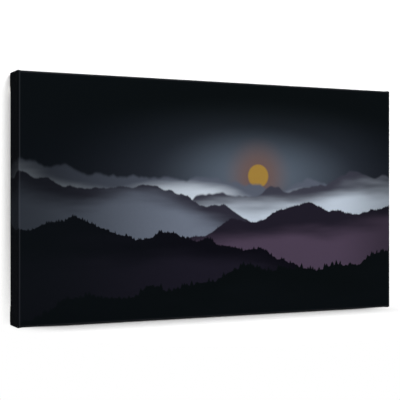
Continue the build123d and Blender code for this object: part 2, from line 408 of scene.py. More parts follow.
# The printed picture: misty ridges under a dark sky, in fields of colour
picture = {
    "sky": [(0.25, "0A0E10"), (0.62, "0E1018"), (1.0, "181822")],  # from the top edge to the middle
    "sun": (0.062, 0.034),
    # the sun's glow and disc: height against width, inner and outer radius, colour, strength
    "glows": [
        (0.3, 0.0, 0.12, "8FA0B4", 0.09),
        (0.42, 0.0, 0.078, "8FA0B4", 0.27),
        (1.0, 0.01, 0.062, "6B4F45", 0.8),
        (1.0, 0.0155, 0.0185, "9A7A3A", 1.0),
    ],
    # height, swing, slope, waves per metre, seed, softness, depth of fade, crest, foot, height of
    # its trees, trees per metre
    "ridges": [
        (0.030, 0.050, -0.04, 5.0, 3.1, 0.0030, 0.034, "545A68", "C6D0DC", 0.0, 0.0),
        (0.004, 0.060, 0.10, 4.2, 8.7, 0.0022, 0.040, "3A3B47", "BAC5D3", 0.0, 0.0),
        (-0.018, 0.070, -0.16, 3.6, 1.9, 0.0014, 0.050, "2C2B37", "6E7686", 0.0012, 620.0),
        (-0.046, 0.080, 0.14, 3.0, 6.4, 0.0010, 0.055, "1F1C27", "4A3E50", 0.0024, 430.0),
        (-0.075, 0.070, -0.18, 3.4, 4.6, 0.0006, 0.060, "0D0D14", "1C1A25", 0.0042, 300.0),
        (-0.118, 0.060, 0.10, 4.0, 9.5, 0.0004, 0.060, "0A0E10", "0C1013", 0.0075, 190.0),
    ],
    "wisps": (5.0, 26.0, 1.0),  # per metre across, up and through: torn mist lies in level bands
    "torn": 0.45,  # how uneven the mist is, as a share of a ridge's fade
    "night": "0B0F12",
    "dusk": (-0.30, 0.02, 0.15),  # where the left goes over to night, and what shows through there
    "shade": (0.31, 0.19, 0.5),  # and the right
    "flank": ("07080B", 0.42),  # painted shade: the turned edges are darkened, as if turned away from the light
    "rubbed": ("8C8F99", 0.055),  # painted highlight: a faint pale line along the rounded edge, where it would catch the light
    "rubbedBand": ((-1.2, -0.75), (-0.35, -0.75)),  # shares of the rounded edge that the painted highlight covers
    "bleed": 0.016,  # how far the ink runs on past the back edge
    "inkWander": 0.0004,  # its edge is uneven by this much
    # painted shade: the bare primer's colour between the weave's crowns, and on them
    "primer": ("D9D6CC", "ECEAE3"),
    "weave": 0.0009,  # thread spacing, real ones are about 0.6 mm
    "weaveTone": (0.8, 1.1),  # painted shade and highlight: how dark the ink is made between the crowns and on them
    "weaveDepth": 0.00014,
}


def wovenCrowns(add, place, axes):
    # plain weave: crowns of the threads stand up where warp and weft cross
    turns = add("VectorMath", {0: place, "Scale": 2 * math.pi / picture["weave"]}, "SCALE")
    phase = add("SeparateXYZ", {0: turns})
    warp, weft = [add("Math", {0: phase.outputs[axis]}, "SINE") for axis in axes]
    return add("Math", {0: warp, 1: weft}, "MULTIPLY")


def skyWithSun(add, x, z, top):
    # the sky's shades, then the sun's glow and disc over them
    height = add("MapRange", {0: z, 1: top, 2: 0.0})
    colour = add("ValToRGB", {0: height}, stops=[(at, linearColour(code)) for at, code in picture["sky"]])
    fromSun = [add("Math", {0: along, 1: sun}, "SUBTRACT") for along, sun in zip((x, z), picture["sun"])]
    for squeeze, near, far, code, strength in picture["glows"]:
        across = add("Math", {0: fromSun[0], 1: squeeze}, "MULTIPLY")
        offset = add("CombineXYZ", {0: across, 1: fromSun[1]})
        distance = add("VectorMath", {0: offset}, "LENGTH")
        share = add("MapRange", {0: distance, 1: far, 2: near, 3: 0.0, 4: strength}, **eased)
        colour = add("Mix", {0: share, 6: colour, 7: code}, **ofColours)
    return colour


def ridgesInMist(add, x, z, colour):
    # ridges over the sky, far to near, each fading into the mist at its foot
    place = add("CombineXYZ", {0: x, 1: z})
    wisps = add("Mapping", {0: place, "Scale": picture["wisps"]})
    for level, swing, slope, waves, seed, soft, fade, crest, foot, tall, firs in picture["ridges"]:
        moved = add("Math", {0: x, 1: waves, 2: seed}, "MULTIPLY_ADD")
        below = []
        for detail in (5.0, 0.6):  # the skyline, and a smoother one for the mist to follow
            hills = add("TexNoise", {"W": moved, "Scale": 1.0, "Detail": detail, "Roughness": 0.52},
                        noise_dimensions="1D")
            rise = add("MapRange", {0: hills, 1: 0.25, 2: 0.75, 3: level - swing / 2, 4: level + swing / 2})
            line = add("Math", {0: x, 1: slope, 2: rise}, "MULTIPLY_ADD")
            below.append(add("Math", {0: line, 1: z}, "SUBTRACT"))
        skyline, smoother = below
        if tall:  # a fir in each cell, a spike of its own height
            along = add("Math", {0: x, 1: firs, 2: seed * 7}, "MULTIPLY_ADD")
            cells = add("TexVoronoi", {"W": along, "Scale": 1.0}, voronoi_dimensions="1D")
            spike = add("MapRange", {0: cells, 1: 0.0, 2: 0.55, 3: tall, 4: 0.0})
            grown = add("MapRange", {0: cells.outputs["Color"], 1: 0.25, 2: 0.75, 3: 0.15, 4: 1.0})
            skyline = add("Math", {0: spike, 1: grown, 2: skyline}, "MULTIPLY_ADD")
        cloud = add("TexNoise", {"Vector": wisps, "W": seed, "Scale": 1.0, "Detail": 3.0},
                    noise_dimensions="4D")
        ragged = picture["torn"] * fade
        torn = add("MapRange", {0: cloud, 1: 0.25, 2: 0.75, 3: -ragged, 4: ragged})
        depth = add("Math", {0: smoother, 1: torn}, "ADD")
        share = add("MapRange", {0: depth, 1: 0.1 * fade, 2: fade}, **eased)
        body = add("Mix", {0: share, 6: crest, 7: foot}, **ofColours)
        cover = add("MapRange", {0: skyline, 1: -soft, 2: soft}, **eased)
        colour = add("Mix", {0: cover, 6: colour, 7: body}, **ofColours)
    for start, end, least in (picture["dusk"], picture["shade"]):
        dim = add("MapRange", {0: x, 1: start, 2: end, 3: least, 4: 1.0}, **eased)
        colour = add("Mix", {0: dim, 6: picture["night"], 7: colour}, **ofColours)
    return colour


def printedCanvas(add):
    # Primed polycotton, inkjet printed and matt varnished: deep blacks with hardly any sheen, a
    # fine plain weave under the ink, and bare white primer beyond the ink on the back
    place = add("UVMap", uv_map="cloth")
    flat = add("SeparateXYZ", {0: place})
    mirrorAt = [half - nose + noseArc / 2 for half in (halfWidth, halfHeight)]
    mirrored = []
    for k, edge in enumerate(mirrorAt):  # past the front's edge, the print is its own mirror image
        held = add("Clamp", {0: flat.outputs[k], 1: -edge, 2: edge})
        double = add("Math", {0: held, 1: 2.0}, "MULTIPLY")
        mirrored.append(add("Math", {0: double, 1: flat.outputs[k]}, "SUBTRACT"))
    x, z = mirrored
    colour = ridgesInMist(add, x, z, skyWithSun(add, x, z, mirrorAt[1]))
    crowns = wovenCrowns(add, place, (0, 1))
    slub = add("TexNoise", {"Vector": place, "Scale": 420.0, "Detail": 3.0})
    relief = add("Math", {0: slub, 1: 0.7, 2: crowns}, "MULTIPLY_ADD")
    # painted shade and highlight: the relief of the weave and its slubs darkens the ink and primer in its
    # hollows and lightens them on its crowns
    between, onCrowns = picture["weaveTone"]
    reliefShade = add("MapRange", {0: relief, 1: -0.9, 2: 1.6, 3: between, 4: onCrowns})
    inked = add("VectorMath", {0: colour, "Scale": reliefShade}, "SCALE")
    # how far past the front's edge a point is, on either side of the cloth
    sizes = add("VectorMath", {0: place}, "ABSOLUTE")
    past = add("VectorMath", {0: sizes, 1: (flatHalfWidth, flatHalfHeight, 1.0)}, "SUBTRACT")
    sides = add("SeparateXYZ", {0: past})
    beyond = add("Math", {0: sides.outputs[0], 1: sides.outputs[1]}, "MAXIMUM")
    # painted shade on the turned edges, and a painted highlight along the rounded edge
    turnedShadeCode, turnedShadeShare = picture["flank"]
    turned = add("MapRange", {0: beyond, 1: -noseArc * 0.4, 2: 0.0, 3: 0.0, 4: turnedShadeShare}, **eased)
    edgeShaded = add("Mix", {0: turned, 6: inked, 7: turnedShadeCode}, **ofColours)
    # painted highlight: a pale line along the middle of the rounded edge
    towards, away = [add("MapRange", {0: beyond, 1: noseArc * start, 2: noseArc * end}, **eased)
                     for start, end in picture["rubbedBand"]]
    rubbed = add("Math", {0: towards, 1: away}, "MULTIPLY")
    highlightCode, highlightMost = picture["rubbed"]
    highlightShare = add("Math", {0: rubbed, 1: highlightMost}, "MULTIPLY")
    highlighted = add("Mix", {0: highlightShare, 6: edgeShaded, 7: highlightCode}, **ofColours)
    # ink stops short of the cut edge
    ragged = add("TexNoise", {"Vector": place, "Scale": 300.0, "Detail": 2.0})
    wander = picture["inkWander"]
    limit = add("MapRange", {0: ragged, 3: -wander, 4: wander})
    inkEdge = add("Math", {0: beyond, 1: limit}, "ADD")
    inkEnd = heelEnd + picture["bleed"]
    bare = add("MapRange", {0: inkEdge, 1: inkEnd, 2: inkEnd + wander})
    shaded, lit = picture["primer"]
    primer = add("Mix", {0: reliefShade, 6: shaded, 7: lit}, **ofColours)
    whole = add("Mix", {0: bare, 6: highlighted, 7: primer}, **ofColours)
    bump = add("Bump", {"Strength": 0.6, "Distance": picture["weaveDepth"], "Height": relief})
    rough = add("MapRange", {0: slub, 1: 0.3, 2: 0.7, 3: 0.52, 4: 0.64})
    return add("BsdfPrincipled", {
        "Base Color": whole, "Roughness": rough, "Normal": bump, "Specular IOR Level": 0.001})


def rawCotton(add):
    # Unprimed back of the cloth and its cut edge: warm grey-white, dull, with flecks of seed husk
    place = add("TexCoord").outputs["Object"]
    crowns = wovenCrowns(add, place, (0, 2))
    cloud = add("TexNoise", {"Vector": place, "Scale": 9.0, "Detail": 4.0})
    base = add("Mix", {0: cloud, 6: "C9C0AC", 7: "DDD6C6"}, **ofColours)
    specks = add("TexVoronoi", {"Vector": place, "Scale": 150.0})
    fleck = add("MapRange", {0: specks, 1: 0.03, 2: 0.07, 3: 0.4, 4: 0.0})
    flecked = add("Mix", {0: fleck, 6: base, 7: "8A7658"}, **ofColours)
    # painted shade: the cotton is darker between the weave's crowns and lighter on them
    reliefShade = add("MapRange", {0: crowns, 1: -1.0, 2: 1.0, 3: 0.86, 4: 1.04})
    woven = add("VectorMath", {0: flecked, "Scale": reliefShade}, "SCALE")
    bump = add("Bump", {"Strength": 0.5, "Distance": 0.00015, "Height": crowns})
    return add("BsdfPrincipled", {
        "Base Color": woven, "Roughness": 0.92, "Normal": bump, "Specular IOR Level": 0.2})


cottonBack = newMaterial("rawCotton", rawCotton)
canvas = makeCanvas(newMaterial("printedCanvas", printedCanvas), cottonBack)
print("stage: canvas folded,", len(canvas.data.polygons), "faces")

# Threads that the scissors left loose along the cut edge
fray = {
    "spacing": 0.0021,
    "length": 0.0024,
    "least": 0.25,  # shortest, as a share of the length
    "radius": 0.00011,
    "curl": 0.0005,
    "fan": 38.0,  # degrees either way
    "tucked": 0.0009,  # how far back into the cloth each one starts
    "uneven": (0.4, 1.6),  # shares of the spacing from one to the next
    "cornerGap": 0.001,  # kept clear at the picture's corners
    "runOn": 0.9,  # the steps go on past the corner by this share of the depth, with no threads
    "hangerGap": 0.038,  # kept clear above and below a hanger's screw, for the ring's swing
}


def threadTree(values):
    # one bent thread on each point, along the point's own direction in the plane of the back
    tree, add, given, keys = newGeometryTree("frayThreads", values)
    half = add("Math", {0: given["Length"], 1: 0.55}, "MULTIPLY")
    bent = add("CombineXYZ", {0: half, 1: given["Curl"]})
    tip = add("CombineXYZ", {0: given["Length"]})
    path = add("CurveQuadraticBezier", {"Resolution": 5, "Start": (0, 0, 0), "Middle": bent, "End": tip})
    section = add("CurvePrimitiveCircle", {"Resolution": 5, "Radius": given["Radius"]})
    thread = add("CurveToMesh", {"Curve": path, "Profile Curve": section, "Fill Caps": True})
    inward = add("InputNamedAttribute", {"Name": "inward"}, data_type="FLOAT")
    seeds = [given["Seed"]]
    seeds += [add("Math", {0: given["Seed"], 1: more}, "ADD") for more in (1.0, 2.0)]
    low = add("Math", {0: 0.0, 1: given["Fan"]}, "SUBTRACT")
    draws = []
    bounds = ((low, given["Fan"]), (-math.pi / 2, math.pi / 2), (given["Least"], 1.0))
    for seed, (least, most) in zip(seeds, bounds):
        draws.append(add("RandomValue", {2: least, 3: most, "Seed": seed}, data_type="FLOAT"))
    fan, roll, share = draws
    heading = add("Math", {0: inward, 1: fan}, "ADD")
    turned = add("Math", {0: 0.0, 1: heading}, "SUBTRACT")
    facing = add("CombineXYZ", {0: roll, 1: turned})
    rotation = add("EulerToRotation", {0: facing})
    size = add("CombineXYZ", {0: share, 1: 1.0, 2: 1.0})
    endTree(add, given, thread, rotation, given["Cotton"], size)
    return tree, keys


def unevenSteps(along, end):
    # places along an edge, some closer together than others
    while along < end:
        yield along
        along += fray["spacing"] * random.uniform(*fray["uneven"])


def cutEdgePlaces():
    # a place and an inward direction for each thread, a little back from the cloth's cut edge
    random.seed(9)
    places, headings = [], []
    start = clothEdge - fray["tucked"]
    screwLow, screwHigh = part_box("hanger_screw_left")
    screwZ = (screwLow.z + screwHigh.z) / 2
    corner = -noseArc - fray["cornerGap"]
    for sideX in (-1, 1):
        for along in unevenSteps(-flatHalfWidth, barDepth * fray["runOn"]):
            if along >= corner:
                continue
            out, up, deep = foldedCorner(along, start)
            for sideZ in (-1, 1):
                x, z = sideX * (halfWidth + out), centreZ + sideZ * (halfHeight + up)
                places.append((x, frontY + deep, z))
                headings.append(-sideZ * math.pi / 2)
        for along in unevenSteps(-flatHalfHeight, corner - flap):
            out, up, deep = foldedCorner(start, along)
            for sideZ in (-1, 1):
                z = centreZ + sideZ * (halfHeight + up)
                if abs(z - screwZ) > fray["hangerGap"]:
                    places.append((sideX * (halfWidth + out), frontY + deep, z))
                    headings.append(math.pi if sideX > 0 else 0.0)
    return places, headings


threadValues = {
    "Length": fray["length"] + fray["tucked"], "Least": fray["least"], "Radius": fray["radius"],
    "Curl": fray["curl"], "Fan": math.radians(fray["fan"]), "Seed": 3, "Cotton": cottonBack}
threadMesh = treeOnPlaces(*cutEdgePlaces(), *threadTree(threadValues), threadValues)
threads = newPiece("looseThreads", threadMesh, cottonBack, "panel", "printed_canvas")
print("stage: loose threads,", len(threads.data.polygons), "faces")


# Wood
timber = {
    "ringSpacing": 0.0026,  # growth rings of fast-grown pine
    "heartAway": (0.050, 0.011),  # the log's heart lies behind the bar, a little to one side
    "lengthwise": 0.03,  # how slowly the rings change along the bar
    "season": ((0.0, 0.0), (0.45, 0.08), (0.88, 1.0), (1.0, 0.0)),  # how dark the wood is through a year
    "early": ("EBD3A6", "DFBE8A"),
    "late": "CC9F63",
    "knot": "8A5A34",
    "fibre": 0.0004,
    "beech": ("DDBB8C", "E8CFA6"),
    "fleck": "A97C4E",
    "fleckScale": (420.0, 2600.0),  # a fleck is about 2.4 mm along the grain and 0.4 mm across
    "easing": 0.0003,  # of the arrises
}


def alongGrain(add, upright):
    # Object coordinates, turned so that X runs along the wood
    place = add("TexCoord").outputs["Object"]
    return add("Mapping", {0: place, "Rotation": (0.0, math.pi / 2 if upright else 0.0, 0.0)})


def planedPine(add, bar, upright):
    # Planed pine: pale early wood, darker resinous lines that run in long arches, a few knots
    # that the lines part round, and a dull planed face
    low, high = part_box(bar)
    mid = (low + high) / 2
    behind, aside = timber["heartAway"]
    heart = (0.0, -(high.y + behind), mid.x - aside if upright else -mid.z - aside)
    lengthwise = alongGrain(add, upright)
    drift = add("TexNoise", {"Vector": lengthwise, "Scale": 4.5, "Detail": 2.0})
    offset = add("VectorMath", {0: drift.outputs["Color"], 1: (0.5, 0.5, 0.5)}, "SUBTRACT")
    drifted = add("VectorMath", {0: offset, 1: (0.05, 0.05, 0.05), 2: lengthwise}, "MULTIPLY_ADD")
    knotPlace = add("Mapping", {0: drifted, "Scale": (0.5, 1.0, 1.0)})
    knots = add("TexVoronoi", {"Vector": knotPlace, "Scale": 7.0})
    parting = add("MapRange", {0: knots, 1: 0.02, 2: 0.2, 3: 0.007, 4: 0.0}, **eased)
    log = add("Mapping", {0: drifted, "Location": heart, "Scale": (timber["lengthwise"], 1.0, 1.0)})
    away = add("VectorMath", {0: log}, "LENGTH")
    radius = add("Math", {0: away, 1: parting}, "ADD")
    # a ring for each year, from early to late wood, some years broader and darker than others
    years = add("Math", {0: radius, 1: timber["ringSpacing"]}, "DIVIDE")
    seasons = add("TexNoise", {"W": years, "Scale": 0.45, "Detail": 1.0}, noise_dimensions="1D")
    uneven = add("Math", {0: seasons, 1: 2.2, 2: years}, "MULTIPLY_ADD")
    growth, year = [add("Math", {0: uneven}, part) for part in ("FRACT", "FLOOR")]
    strength = add("TexWhiteNoise", {"W": year}, noise_dimensions="1D")
    strong = add("MapRange", {0: strength.outputs["Value"], 3: 0.35, 4: 0.95})
    late = add("ValToRGB", {0: growth}, stops=[(at, (grey, grey, grey, 1)) for at, grey in timber["season"]])
    line = add("Math", {0: late, 1: strong}, "MULTIPLY")
    fine = 1 / timber["fibre"]
    stretched = add("Mapping", {0: lengthwise, "Scale": (16.0, fine, fine)})
    fibres = add("TexNoise", {"Vector": stretched, "Scale": 1.0, "Detail": 3.0, "Roughness": 0.6})
    grain = add("MapRange", {0: fibres, 1: 0.3, 2: 0.7, 3: -0.14, 4: 0.14})
    share = add("Math", {0: line, 1: grain}, "ADD", use_clamp=True)
    patch = add("TexNoise", {"Vector": lengthwise, "Scale": 7.0, "Detail": 2.0})
    paler, darker = timber["early"]
    early = add("Mix", {0: patch, 6: paler, 7: darker}, **ofColours)
    wood = add("Mix", {0: share, 6: early, 7: timber["late"]}, **ofColours)
    knot = add("MapRange", {0: knots, 1: 0.03, 2: 0.055, 3: 0.85, 4: 0.0}, **eased)
    knotted = add("Mix", {0: knot, 6: wood, 7: timber["knot"]}, **ofColours)
    bump = add("Bump", {"Strength": 0.25, "Distance": 0.00008, "Height": fibres})
    rough = add("MapRange", {0: share, 3: 0.68, 4: 0.52})
    return add("BsdfPrincipled", {
        "Base Color": knotted, "Roughness": rough, "Normal": bump, "Specular IOR Level": 0.35})


def sawnBeech(add, upright):
    # Sawn beech: even pinkish tan with short dark ray flecks along the grain
    lengthwise = alongGrain(add, upright)
    along, across = timber["fleckScale"]
    fleckPlace = add("Mapping", {0: lengthwise, "Scale": (along, across, across)})
    flecks = add("TexNoise", {"Vector": fleckPlace, "Scale": 1.0, "Detail": 2.0})
    bands = add("TexNoise", {"Vector": lengthwise, "Scale": 60.0, "Detail": 3.0})
    share = add("MapRange", {0: flecks, 1: 0.52, 2: 0.62, 3: 0.0, 4: 0.5})
    darker, paler = timber["beech"]
    base = add("Mix", {0: bands, 6: darker, 7: paler}, **ofColours)
    wood = add("Mix", {0: share, 6: base, 7: timber["fleck"]}, **ofColours)
    bump = add("Bump", {"Strength": 0.4, "Distance": 0.00012, "Height": flecks})
    return add("BsdfPrincipled", {
        "Base Color": wood, "Roughness": 0.7, "Normal": bump, "Specular IOR Level": 0.3})


def easedCopy(node, pieceName, easing, material, slot):
    # a CAD piece with its arrises eased: a copy is merged, its flat faces joined, and bevelled
    built = bmesh.new()
    built.from_mesh(nodes[node].data)
    bmesh.ops.remove_doubles(built, verts=built.verts, dist=sameSpot)
    bmesh.ops.dissolve_limit(built, angle_limit=math.radians(1), verts=built.verts, edges=built.edges)
    source = linked(pieceName + "Source", meshOf(pieceName, built))
    bevel = source.modifiers.new("easing", "BEVEL")
    bevel.width, bevel.segments, bevel.use_clamp_overlap = easing, 2, False
    bevel.limit_method, bevel.angle_limit = "ANGLE", math.radians(creaseAngle)
    return newPiece(pieceName, plainMesh(source), material, "panel", slot, node)


beech = {}
for way in ("level", "upright"):
    beech[way] = newMaterial("sawnBeech" + way.title(), sawnBeech, way == "upright")
for name in barNames:
    side = name.replace("bar_", "")
    pine = newMaterial("planedPine" + side.title(), planedPine, name, side in ("left", "right"))
    easedCopy(name, side + "Bar", timber["easing"], pine, "pine")
for name in sorted(nodes):
    if name.startswith("key_"):
        level, side, way = name.split("_")[1:]
        easedCopy(name, level + side.title() + way.title() + "Key", timber["easing"], beech[way], "beech")
print("stage: bars and keys eased")


# Metals and rubber
def nickelSteel(add):
    # Nickel-plated steel: warm white metal, bright from barrel polishing, with faint clouding
    place = add("TexCoord").outputs["Object"]
    cloud = add("TexNoise", {"Vector": place, "Scale": 700.0, "Detail": 4.0})
    rough = add("MapRange", {0: cloud, 1: 0.3, 2: 0.7, 3: 0.22, 4: 0.36})
    base = add("Mix", {0: cloud, 6: "B4AFA4", 7: "CCC7BC"}, **ofColours)
    bump = add("Bump", {"Strength": 0.12, "Distance": 0.00005, "Height": cloud})
    return add("BsdfPrincipled", {"Base Color": base, "Metallic": 1.0, "Roughness": rough, "Normal": bump})


def galvanisedWire(add):
    # Galvanised staple wire: dull grey zinc, finely mottled by the drawing
    place = add("TexCoord").outputs["Object"]
    drawn = add("TexNoise", {"Vector": place, "Scale": 1500.0, "Detail": 2.0})
    rough = add("MapRange", {0: drawn, 1: 0.3, 2: 0.7, 3: 0.34, 4: 0.5})
    return add("BsdfPrincipled", {"Base Color": "9DA0A1", "Metallic": 1.0, "Roughness": rough})


def mouldedRubber(add):
    # Moulded soft rubber: near-black, dull, with a fine dusty bloom
    place = add("TexCoord").outputs["Object"]
    bloom = add("TexNoise", {"Vector": place, "Scale": 900.0, "Detail": 4.0})
    base = add("Mix", {0: bloom, 6: "1B1B1C", 7: "2B2B2C"}, **ofColours)
    bump = add("Bump", {"Strength": 0.2, "Distance": 0.00008, "Height": bloom})
    return add("BsdfPrincipled", {"Base Color": base, "Roughness": 0.72, "Normal": bump})


nickel = newMaterial("nickelPlatedSteel", nickelSteel)
zinc = newMaterial("galvanisedWire", galvanisedWire)
rubber = newMaterial("mouldedRubber", mouldedRubber)

# D-ring hangers
hanger = {
    "wire": 0.0012,  # radius
    "corner": 0.003,  # bend of the ring beside its straight bar
    "side": 0.0015,  # straight stretch below each corner
    "sheet": 0.001,  # strap metal
    "easing": 0.00018,  # of the strap's edges
    "shank": 0.0016,  # radius
    "point": 0.003,
    "rim": 0.3,  # straight part of the head's height
    "recessWidth": 0.00105,
    "recessLength": 0.0040,
    "recessDepth": 0.0018,
    "recessTurn": (0.35, 1.1),  # where each screw came to rest
    "cornerSteps": 8,
    "bowSteps": 32,
    "headSteps": 40,
}


def ringWire(node, pieceName, pivot):
    # round wire along a D: a bar in the strap's eye, two corners, two sides and a half circle
    low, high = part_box(node)
    wire, corner, side = hanger["wire"], hanger["corner"], hanger["side"]
    half = (high.x - low.x) / 2 - wire
    lean = math.asin((high.y - wire - pivot.y) / (corner + side + half))
    outline = []
    for middleX, middleZ, radius, start, sweep, steps in (
        (half - corner, -corner, corner, math.pi / 2, -math.pi / 2, hanger["cornerSteps"]),
        (0.0, -corner - side, half, 0.0, -math.pi, hanger["bowSteps"]),
        (corner - half, -corner, corner, math.pi, -math.pi / 2, hanger["cornerSteps"]),
    ):
        for angle in (start + sweep * step / steps for step in range(steps + 1)):
            outline.append((middleX + radius * math.cos(angle), middleZ + radius * math.sin(angle)))
    curve = bpy.data.curves.new(pieceName, "CURVE")
    curve.dimensions = "3D"
    curve.bevel_depth, curve.bevel_resolution = wire, 5
    spline = curve.splines.new("POLY")
    spline.points.add(len(outline) - 1)
    spline.use_cyclic_u = True
    for point, (x, z) in zip(spline.points, outline):
        point.co = (pivot.x + x, pivot.y - z * math.sin(lean), pivot.z + z * math.cos(lean), 1)
    return plainMesh(linked(pieceName + "Source", curve))


def crossCutter(height, recessTurn):
    # a tapered cross, from above the head down into it
    built = bmesh.new()
    rings = []
    for share, y in ((1.1, height + 0.0004), (0.25, height - hanger["recessDepth"])):
        far = share * hanger["recessLength"] / 2
        near = (0.4 + 0.6 * share) * hanger["recessWidth"] / 2
        ring = []
        for quarter in range(4):  # three points of each arm, turned round the middle
            turned = Matrix.Rotation(quarter * math.pi / 2 + recessTurn, 2)
            arm = [turned @ Vector(point) for point in ((far, -near), (far, near), (near, near))]
            ring += [built.verts.new((point.x, y, point.y)) for point in arm]
        rings.append(ring)
    upper, lower = rings
    for k in range(12):
        built.faces.new((upper[k - 1], upper[k], lower[k], lower[k - 1]))
    for ring in rings:
        built.faces.new(ring)
    bmesh.ops.recalc_face_normals(built, faces=built.faces)
    return linked("recess", meshOf("recess", built))


def screwHead(node, pieceName, recessTurn):
    # a domed head turned on a lathe, its cross recess, and its shank
    low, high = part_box(node)
    radius = (high.x - low.x) / 2
    height = high.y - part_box(node.replace("screw", "strap"))[0].y - 2 * hanger["sheet"]
    seat = high.y - height
    shank, tip, rim = hanger["shank"], low.y - seat, hanger["rim"]
    profile = [(0.0, tip), (shank, tip + hanger["point"]), (shank, 0.0), (radius, 0.0)]
    for angle in (i * math.pi / 20 for i in range(10)):
        profile.append((radius * math.cos(angle), height * (rim + (1 - rim) * math.sin(angle))))
    profile.append((0.0, height))
    source = linked(pieceName + "Source", turnedMesh(pieceName, profile, hanger["headSteps"]))
    cutter = crossCutter(height, recessTurn)
    cut = source.modifiers.new("recess", "BOOLEAN")
    cut.operation, cut.solver, cut.object = "DIFFERENCE", "EXACT", cutter
    finished = plainMesh(source)
    bpy.data.objects.remove(cutter)
    finished.transform(Matrix.Translation(((low.x + high.x) / 2, seat, (low.z + high.z) / 2)))
    return finished


for joint, recessTurn in zip(frame["joints"], hanger["recessTurn"]):
    side = joint["child"].replace("ring_", "")
    title = side.title()
    ring, strap, screw = ["hanger_" + part + side for part in ("ring_", "strap_", "screw_")]
    mesh = ringWire(ring, "ringWire" + title, Vector(joint["pos_m"]))
    newPiece("ring" + title, mesh, nickel, joint["child"], "plated_steel", ring)
    easedCopy(strap, "strap" + title, hanger["easing"], nickel, "plated_steel")
    mesh = screwHead(screw, "screw" + title, recessTurn)
    newPiece("screw" + title, mesh, nickel, "panel", "plated_steel", screw)
print("stage: hangers made")

# Wall bumpers
bumper = {
    "rim": 0.0011,  # rounding of the free face
    "dish": 0.0004,  # how far it's dished
    "tip": 5 / 6,  # its radius against the foot's
    "steps": 48,
    "sharpest": 35,  # degrees, past which an edge shows as a crease
}


def makeBumper(node):
    # a tapered foot with a rounded rim and a slightly dished face
    low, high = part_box(node)
    base, tall = (high.x - low.x) / 2, high.y - low.y
    tip, rim, dish = base * bumper["tip"], bumper["rim"], bumper["dish"]
    profile = [(0.0, 0.0), (base, 0.0)]
    for angle in (math.pi / 2 * step / 6 for step in range(7)):
        profile.append((tip - rim * (1 - math.cos(angle)), tall - rim * (1 - math.sin(angle))))
    profile += [(tip * 0.55, tall - dish * 0.7), (0.0, tall - dish)]
    mesh = turnedMesh(node, profile, bumper["steps"])
    mesh.transform(Matrix.Translation(((low.x + high.x) / 2, low.y, (low.z + high.z) / 2)))
    return plainMesh(linked("source", mesh), bumper["sharpest"])


for side in ("left", "right"):
    node = "bumper_" + side
    newPiece("bumper" + side.title(), makeBumper(node), rubber, "panel", "bumper_rubber", node)

# Staples, bent and set by Geometry Nodes
staple = {
    "crown": 0.010,
    "leg": 0.004,  # only the part above and just inside the cloth
    "wireWidth": 0.0012,
    "wireThickness": 0.0005,
    "bendRadius": 0.0006,
    "skew": 4.0,  # degrees either way
    "inset": 0.011,  # from the picture's edge
    "margin": 0.014,  # clear of the corner folds
    "across": 9,  # how many along the top, between the folds
    "upright": 5,
}


def stapleTree(values):
    # a wire bent over a crown and two legs, one on each point, each a little askew
    tree, add, given, keys = newGeometryTree("setStaples", values)
    line = add("MeshLine", {"Count": 4})
    index = add("InputIndex")
    second = add("Math", {0: index, 1: 1.5}, "GREATER_THAN")
    centred = add("Math", {0: second, 1: 0.5}, "SUBTRACT")
    x = add("Math", {0: centred, 1: given["Crown"]}, "MULTIPLY")
    fromMiddle = add("Math", {0: index, 1: 1.5}, "SUBTRACT")
    size = add("Math", {0: fromMiddle}, "ABSOLUTE")
    foot = add("Math", {0: size, 1: 1.0}, "GREATER_THAN")
    drop = add("Math", {0: foot, 1: given["Leg"]}, "MULTIPLY")
    z = add("Math", {0: 0.0, 1: drop}, "SUBTRACT")
    place = add("CombineXYZ", {0: x, 2: z})
    bent = add("SetPosition", {"Geometry": line, "Position": place})
    path = add("MeshToCurve", {0: bent})
    rounded = add("FilletCurve", {"Curve": path, "Count": 4, "Radius": given["Bend Radius"]}, mode="POLY")
    thick, wide = given["Wire Thickness"], given["Wire Width"]
    section = add("CurvePrimitiveQuadrilateral", {"Width": thick, "Height": wide})
    corner = add("Math", {0: thick, 1: 0.3}, "MULTIPLY")
    softer = add("FilletCurve", {"Curve": section, "Count": 2, "Radius": corner}, mode="POLY")
    wire = add("CurveToMesh", {"Curve": rounded, "Profile Curve": softer, "Fill Caps": True})
    low = add("Math", {0: 0.0, 1: given["Skew"]}, "SUBTRACT")
    askew = add("RandomValue", {2: low, 3: given["Skew"], "Seed": given["Seed"]}, data_type="FLOAT")
    turned = add("Math", {0: given["Turn"], 1: askew}, "ADD")
    facing = add("CombineXYZ", {0: -math.pi / 2, 1: turned})
    rotation = add("EulerToRotation", {0: facing})
    endTree(add, given, wire, rotation, given["Wire"])
    return tree, keys


def spread(first, last, count):
    return [first + (last - first) * i / (count - 1) for i in range(count)]


def staplePlaces(side):
    # centre of each crown's wire, on the cloth's outer layer
    inset = staple["inset"]
    foldEnd = barDepth + flap
    lie = backY + staple["wireThickness"] / 2
    if side in ("left", "right"):
        x = (halfWidth - inset) * (1 if side == "right" else -1)
        run = halfHeight - foldEnd + staple["margin"] / 2
        return [(x, lie + layer, z) for z in spread(centreZ - run, centreZ + run, staple["upright"])]
    z = centreZ + (1 if side == "top" else -1) * (halfHeight - inset)
    run = halfWidth - foldEnd - staple["margin"]
    places = [(x, lie + layer, z) for x in spread(-run, run, staple["across"])]
    for fromSide in ((inset + flap) / 2, (inset + foldEnd) / 2):  # through each corner fold
        places += [(sign * (halfWidth - fromSide), lie + 3 * layer, z) for sign in (-1, 1)]
    return places


